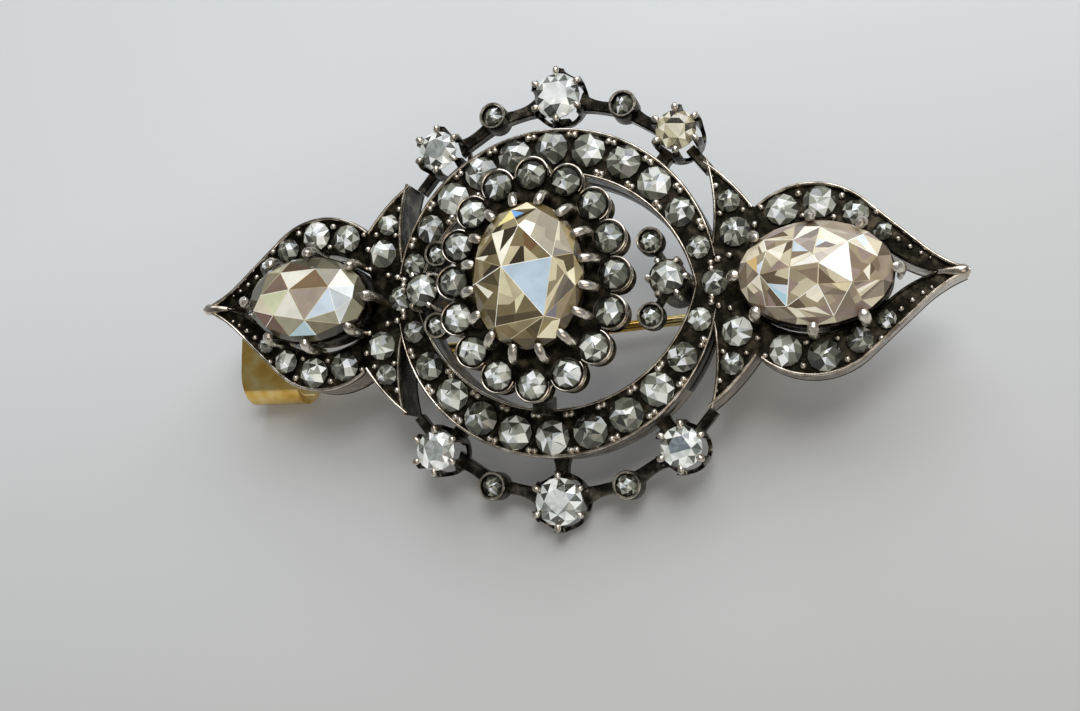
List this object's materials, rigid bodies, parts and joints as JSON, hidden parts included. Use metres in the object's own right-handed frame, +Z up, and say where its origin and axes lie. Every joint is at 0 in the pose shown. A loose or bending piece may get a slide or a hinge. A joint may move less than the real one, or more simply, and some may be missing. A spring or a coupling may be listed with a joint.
{
  "type": "diamond brooch",
  "caption": "Antique style silver and gold brooch: rose-cut stones in a ring round a raised oval cluster, a pointed drop on each side, open collet arcs, hinged pin and hook catch.",
  "frame": {"origin": "middle of the bounding box, on the table plane under the leaning brooch", "axes": "+X from pointed tip to pointed tip, to the right as seen from the front; -Y towards the viewer, whom the leaning face looks towards; +Z up"},
  "size_m": [0.054, 0.0312, 0.0172],
  "materials": {
    "silver": "old silver, polished edges, blackened beds",
    "gold": "polished yellow gold",
    "white_diamond": "polished facets",
    "centre_stone": "polished facets",
    "left_side_stone": "polished facets",
    "right_side_stone": "polished facets"
  },
  "bodies": {
    "brooch": {"silver_frame": "silver", "centre_setting": "silver", "hinge_plate": "gold", "hinge_rivet": "gold", "catch": "gold", "centre_stone": "centre_stone", "left_side_stone": "left_side_stone", "right_side_stone": "right_side_stone", "top_arc_stone_1": "white_diamond", "top_arc_stone_2": "white_diamond", "top_arc_stone_3": "white_diamond", "top_arc_stone_4": "white_diamond", "top_arc_stone_5": "white_diamond", "bottom_arc_stone_1": "white_diamond", "bottom_arc_stone_2": "white_diamond", "bottom_arc_stone_3": "white_diamond", "bottom_arc_stone_4": "white_diamond", "bottom_arc_stone_5": "white_diamond", "left_trefoil_stone_upper": "white_diamond", "left_trefoil_stone_middle": "white_diamond", "left_trefoil_stone_lower": "white_diamond", "right_trefoil_stone_upper": "white_diamond", "right_trefoil_stone_middle": "white_diamond", "right_trefoil_stone_lower": "white_diamond", "cluster_stones": "white_diamond", "upper_ring_stones": "white_diamond", "lower_ring_stones": "white_diamond", "left_wing_stones": "white_diamond", "right_wing_stones": "white_diamond", "left_drop_stones": "white_diamond", "right_drop_stones": "white_diamond"},
    "pin": {"pin_stem": "gold"}
  },
  "joints": [
    {"name": "pin_hinge", "type": "hinge", "parent": "brooch", "child": "pin", "pos_m": [0.0122, 0.0012, 0.00194], "axis": [0, -0.7986, -0.6018], "range_deg": [0, 100]}
  ]
}
